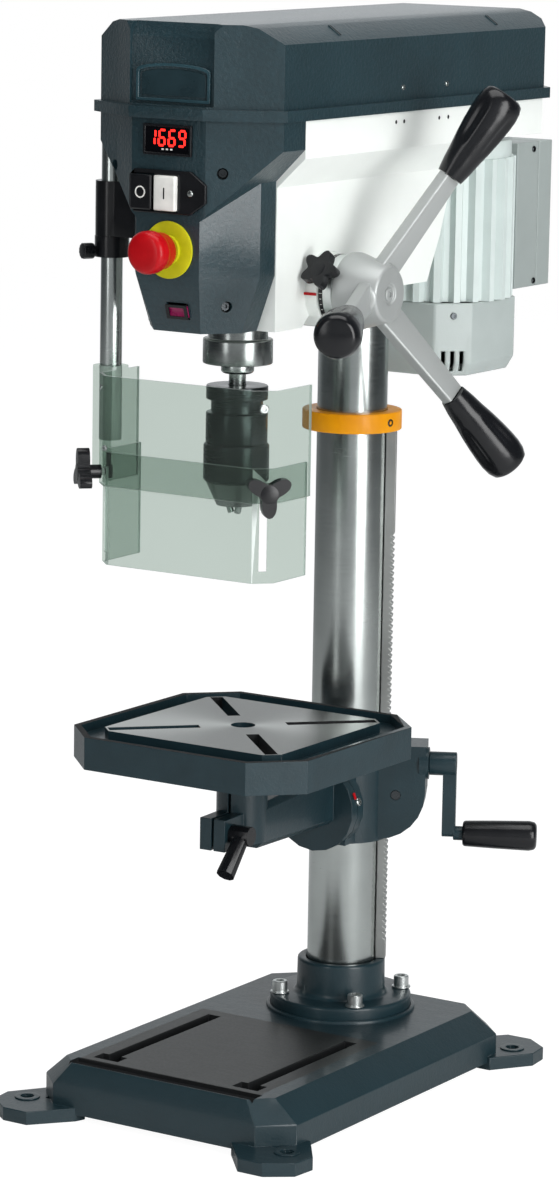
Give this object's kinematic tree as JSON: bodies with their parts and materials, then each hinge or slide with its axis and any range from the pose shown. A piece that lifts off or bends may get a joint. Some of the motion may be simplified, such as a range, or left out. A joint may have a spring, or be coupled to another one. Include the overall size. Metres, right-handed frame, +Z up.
{
  "type": "benchtop drill press",
  "caption": "Bench drill press: slotted base, round column with rack, cranked tilting table, belt-driven head with quill, keyless chuck, feed levers and a clear sliding guard.",
  "frame": {"origin": "where the axis of the column meets the floor, under the base", "axes": "+Z up along the column, -Y towards the operator at the front, +X to the right as the operator sees it"},
  "size_m": [0.4251, 0.7198, 1.112],
  "materials": {
    "dark_paint": "satin, dark blue-grey enamel",
    "white_paint": "satin, off-white enamel",
    "grey_paint": "satin, light grey enamel",
    "orange_paint": "satin, orange enamel",
    "bright_steel": "ground and polished",
    "dark_steel": "blackened",
    "machined_iron": "face-milled",
    "cast_aluminium": "satin",
    "cover_plastic": "fine grain",
    "black_plastic": "semi-gloss",
    "white_plastic": "semi-gloss",
    "red_plastic": "semi-gloss",
    "yellow_plastic": "matt",
    "magenta_plastic": "translucent",
    "belt_rubber": "matt",
    "clear_plastic": "clear, slightly green"
  },
  "bodies": {
    "stand": {"base_casting": "dark_paint", "column_flange": "dark_paint", "flange_bolt_1": "bright_steel", "flange_bolt_2": "bright_steel", "flange_bolt_3": "bright_steel", "flange_bolt_4": "bright_steel", "column_tube": "bright_steel", "rack_ring": "orange_paint", "head_casting": "white_paint", "front_cover": "cover_plastic", "motor_body": "grey_paint", "motor_fan_cover": "grey_paint", "terminal_box": "grey_paint", "idler_arm": "dark_steel", "motor_belt": "belt_rubber", "spindle_belt": "belt_rubber", "spring_housing": "grey_paint", "return_spring": "bright_steel", "speed_display": "black_plastic", "switch_plate": "black_plastic", "estop_disc": "yellow_plastic", "guard_block": "black_plastic"},
    "rack": {"table_rack": "machined_iron"},
    "bracket": {"table_bracket": "dark_paint"},
    "crank": {"crank_arm": "dark_paint"},
    "crank_handle": {"crank_grip": "black_plastic"},
    "pinion": {"rack_pinion": "machined_iron"},
    "column_lever": {"column_clamp_lever": "black_plastic"},
    "arm": {"table_arm": "dark_paint"},
    "table_lever": {"table_clamp_lever": "black_plastic"},
    "table": {"table_top": "dark_paint"},
    "quill": {"quill_sleeve": "bright_steel", "spindle_bearing": "dark_steel"},
    "spindle": {"spindle": "bright_steel", "chuck_body": "dark_steel"},
    "sleeve": {"chuck_sleeve": "dark_steel"},
    "jaw_1": {"chuck_jaw_1": "bright_steel"},
    "jaw_2": {"chuck_jaw_2": "bright_steel"},
    "jaw_3": {"chuck_jaw_3": "bright_steel"},
    "feed": {"feed_hub": "cast_aluminium", "feed_grip_1": "black_plastic", "feed_grip_2": "black_plastic", "feed_grip_3": "black_plastic"},
    "depth_stop": {"depth_ring": "cast_aluminium"},
    "depth_lock": {"depth_knob": "black_plastic"},
    "lid": {"belt_cover": "cover_plastic"},
    "front_pulley": {"spindle_pulley": "cast_aluminium"},
    "middle_pulley": {"idler_pulley": "cast_aluminium"},
    "rear_pulley": {"motor_pulley": "cast_aluminium"},
    "guard_swivel": {"guard_collar": "black_plastic"},
    "guard_lock": {"guard_knob": "black_plastic"},
    "guard": {"guard_post": "bright_steel", "upper_shield": "clear_plastic"},
    "guard_lower": {"lower_shield": "clear_plastic"},
    "guard_left_knob": {"shield_knob_left": "black_plastic"},
    "guard_right_knob": {"shield_knob_right": "black_plastic"},
    "stop": {"stop_button": "black_plastic"},
    "start": {"start_button": "white_plastic"},
    "estop": {"estop_button": "red_plastic"},
    "lamp": {"lamp_switch": "magenta_plastic"}
  },
  "joints": [
    {"name": "table_swing", "type": "hinge", "parent": "stand", "child": "rack", "pos_m": [0, 0, 0.3], "axis": [0, 0, 1], "range_deg": [-180, 180]},
    {"name": "table_height", "type": "slide", "parent": "rack", "child": "bracket", "axis": [0, 0, 1], "range_m": [-0.115, 0.15]},
    {"name": "table_crank", "type": "hinge", "parent": "bracket", "child": "crank", "pos_m": [0.00642, -0.01244, 0.329], "axis": [0.8886, 0.4587, 0], "range_deg": [-4614, 6018]},
    {"name": "crank_grip_spin", "type": "hinge", "parent": "crank", "child": "crank_handle", "pos_m": [0.00642, -0.01244, 0.2545], "axis": [0.8886, 0.4587, 0], "continuous": true},
    {"name": "rack_pinion_turn", "type": "hinge", "parent": "bracket", "child": "pinion", "pos_m": [0.04976, 0.02568, 0.296], "axis": [-0.4587, 0.8886, 0], "range_deg": [-1012, 776]},
    {"name": "column_lever_turn", "type": "hinge", "parent": "bracket", "child": "column_lever", "pos_m": [-0.06022, 0.01247, 0.29], "axis": [-0.2028, -0.9792, 0], "range_deg": [-25, 25]},
    {"name": "table_tilt", "type": "hinge", "parent": "bracket", "child": "arm", "pos_m": [0, 0, 0.288], "axis": [0.0576, -0.9983, 0], "range_deg": [-45, 45]},
    {"name": "table_lever_turn", "type": "hinge", "parent": "arm", "child": "table_lever", "pos_m": [0.0151, -0.26187, 0.3005], "axis": [0.9983, 0.0576, 0], "range_deg": [-60, 30]},
    {"name": "table_turn", "type": "hinge", "parent": "arm", "child": "table", "pos_m": [0.01257, -0.21794, 0.38], "axis": [0, 0, 1], "range_deg": [-180, 180]},
    {"name": "feed_turn", "type": "hinge", "parent": "stand", "child": "feed", "pos_m": [0, -0.177, 0.847], "axis": [1, 0, 0], "range_deg": [0, 405.8], "stiffness_Nm_per_rad": 0.045, "springref_deg": -1546.99},
    {"name": "quill_travel", "type": "slide", "parent": "stand", "child": "quill", "axis": [0, 0, -1], "range_m": [0, 0.085]},
    {"name": "spindle_spin", "type": "hinge", "parent": "quill", "child": "spindle", "pos_m": [0, -0.219, 0.76], "axis": [0, 0, 1], "continuous": true},
    {"name": "chuck_sleeve_turn", "type": "hinge", "parent": "spindle", "child": "sleeve", "pos_m": [0, -0.219, 0.67], "axis": [0, 0, 1], "range_deg": [0, 1080]},
    {"name": "jaw_1_slide", "type": "slide", "parent": "spindle", "child": "jaw_1", "axis": [0, 0.2756, 0.9613], "range_m": [0, 0.02]},
    {"name": "jaw_2_slide", "type": "slide", "parent": "spindle", "child": "jaw_2", "axis": [-0.2387, -0.1378, 0.9613], "range_m": [0, 0.02]},
    {"name": "jaw_3_slide", "type": "slide", "parent": "spindle", "child": "jaw_3", "axis": [0.2387, -0.1378, 0.9613], "range_m": [0, 0.02]},
    {"name": "depth_ring_turn", "type": "hinge", "parent": "feed", "child": "depth_stop", "pos_m": [0.0963, -0.177, 0.847], "axis": [1, 0, 0], "range_deg": [0, 340]},
    {"name": "depth_knob_turn", "type": "hinge", "parent": "depth_stop", "child": "depth_lock", "pos_m": [0.0963, -0.177, 0.847], "axis": [0, -0.8746, 0.4848], "range_deg": [0, 360]},
    {"name": "lid_hinge", "type": "hinge", "parent": "stand", "child": "lid", "pos_m": [-0.118, 0, 1.013], "axis": [0, -1, 0], "range_deg": [0, 95]},
    {"name": "motor_spin", "type": "hinge", "parent": "stand", "child": "rear_pulley", "pos_m": [0, 0.162, 1], "axis": [0, 0, 1], "continuous": true},
    {"name": "middle_pulley_spin", "type": "hinge", "parent": "stand", "child": "middle_pulley", "pos_m": [0, -0.032, 1], "axis": [0, 0, 1], "continuous": true},
    {"name": "front_pulley_spin", "type": "hinge", "parent": "stand", "child": "front_pulley", "pos_m": [0, -0.219, 1], "axis": [0, 0, 1], "continuous": true},
    {"name": "guard_swing", "type": "hinge", "parent": "stand", "child": "guard_swivel", "pos_m": [-0.127, -0.258, 0.88], "axis": [0, 0, 1], "range_deg": [-100, 0]},
    {"name": "guard_knob_turn", "type": "hinge", "parent": "guard_swivel", "child": "guard_lock", "pos_m": [-0.127, -0.258, 0.8782], "axis": [-0.5, -0.866, 0], "range_deg": [0, 360]},
    {"name": "guard_height", "type": "slide", "parent": "guard_swivel", "child": "guard", "axis": [0, 0, 1], "range_m": [-0.08, 0.005]},
    {"name": "lower_shield_slide", "type": "slide", "parent": "guard", "child": "guard_lower", "axis": [0, 0, 1], "range_m": [0, 0.06]},
    {"name": "left_shield_knob_turn", "type": "hinge", "parent": "guard", "child": "guard_left_knob", "pos_m": [-0.1067, -0.302, 0.661], "axis": [-0.7071, -0.7071, 0], "range_deg": [0, 360]},
    {"name": "right_shield_knob_turn", "type": "hinge", "parent": "guard", "child": "guard_right_knob", "pos_m": [0.0883, -0.302, 0.661], "axis": [0.7071, -0.7071, 0], "range_deg": [0, 360]},
    {"name": "stop_push", "type": "slide", "parent": "stand", "child": "stop", "axis": [0, 1, 0], "range_m": [0, 0.002], "stiffness_N_per_m": 900},
    {"name": "start_push", "type": "slide", "parent": "stand", "child": "start", "axis": [0, 1, 0], "range_m": [0, 0.002], "stiffness_N_per_m": 900},
    {"name": "estop_push", "type": "slide", "parent": "stand", "child": "estop", "axis": [0, 1, 0], "range_m": [0, 0.004], "stiffness_N_per_m": 1500},
    {"name": "lamp_rock", "type": "hinge", "parent": "stand", "child": "lamp", "pos_m": [0.006, -0.3319, 0.8347], "axis": [1, 0, 0], "range_deg": [-12, 0]}
  ],
  "couplings": [
    {"joint": "table_crank", "follows": "table_height", "rad_per_m": 700},
    {"joint": "rack_pinion_turn", "follows": "table_height", "rad_per_m": -117.6},
    {"joint": "quill_travel", "follows": "feed_turn", "m_per_rad": 0.012},
    {"joint": "jaw_1_slide", "follows": "chuck_sleeve_turn", "m_per_rad": 0.00106},
    {"joint": "jaw_2_slide", "follows": "chuck_sleeve_turn", "m_per_rad": 0.00106},
    {"joint": "jaw_3_slide", "follows": "chuck_sleeve_turn", "m_per_rad": 0.00106},
    {"joint": "middle_pulley_spin", "follows": "motor_spin", "ratio": 1},
    {"joint": "front_pulley_spin", "follows": "motor_spin", "ratio": 1.1925},
    {"joint": "spindle_spin", "follows": "motor_spin", "ratio": 1.1925}
  ]
}
